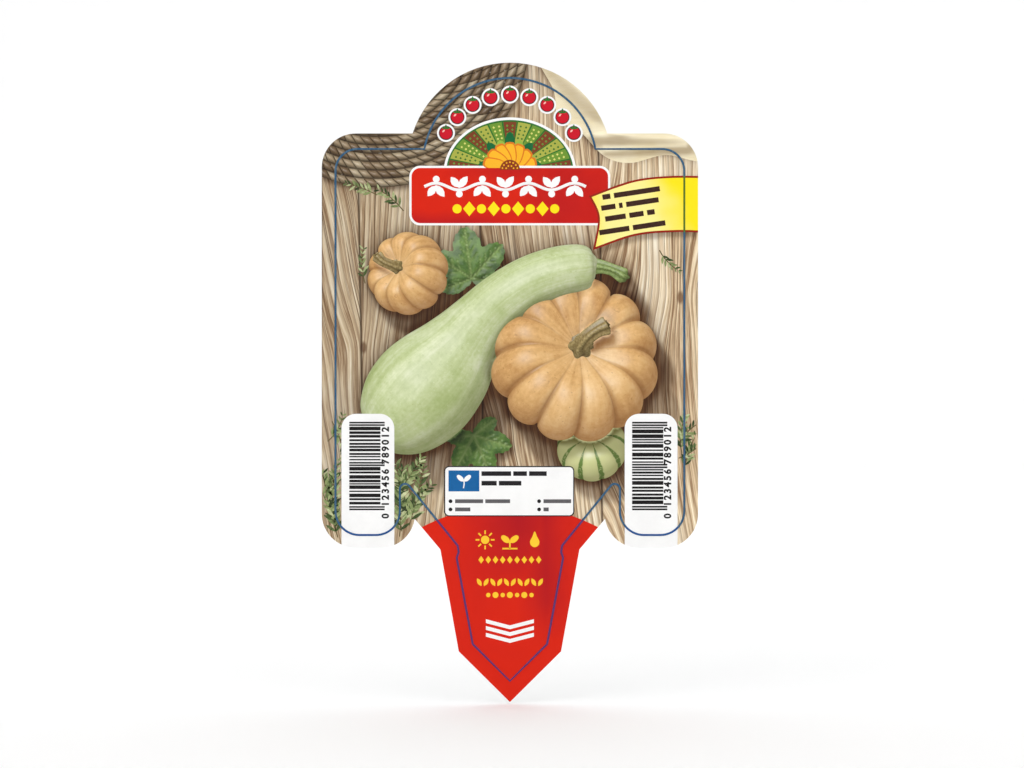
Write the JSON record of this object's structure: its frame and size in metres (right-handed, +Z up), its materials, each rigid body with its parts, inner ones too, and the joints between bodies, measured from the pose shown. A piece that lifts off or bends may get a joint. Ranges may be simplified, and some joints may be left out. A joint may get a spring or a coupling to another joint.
{
  "type": "plant label",
  "caption": "Die-cut plastic plant label with a domed, printed face, two rounded ears and a pointed stake that is pushed into the soil of a pot.",
  "frame": {"origin": "on the flat back of the sheet, halfway across the stake, at the soil line, which is the height of the stake's shoulders", "axes": "+Z up along the stake and the label's height, -Y out of the printed front, +X to the right as the front is read"},
  "size_m": [0.094, 0.0005, 0.1599],
  "materials": {
    "printed_sheet": "white sheet, printed in colour on the front and in two colours on the back, satin gloss"
  },
  "bodies": {
    "root": {"label_sheet": "printed_sheet"}
  },
  "joints": []
}
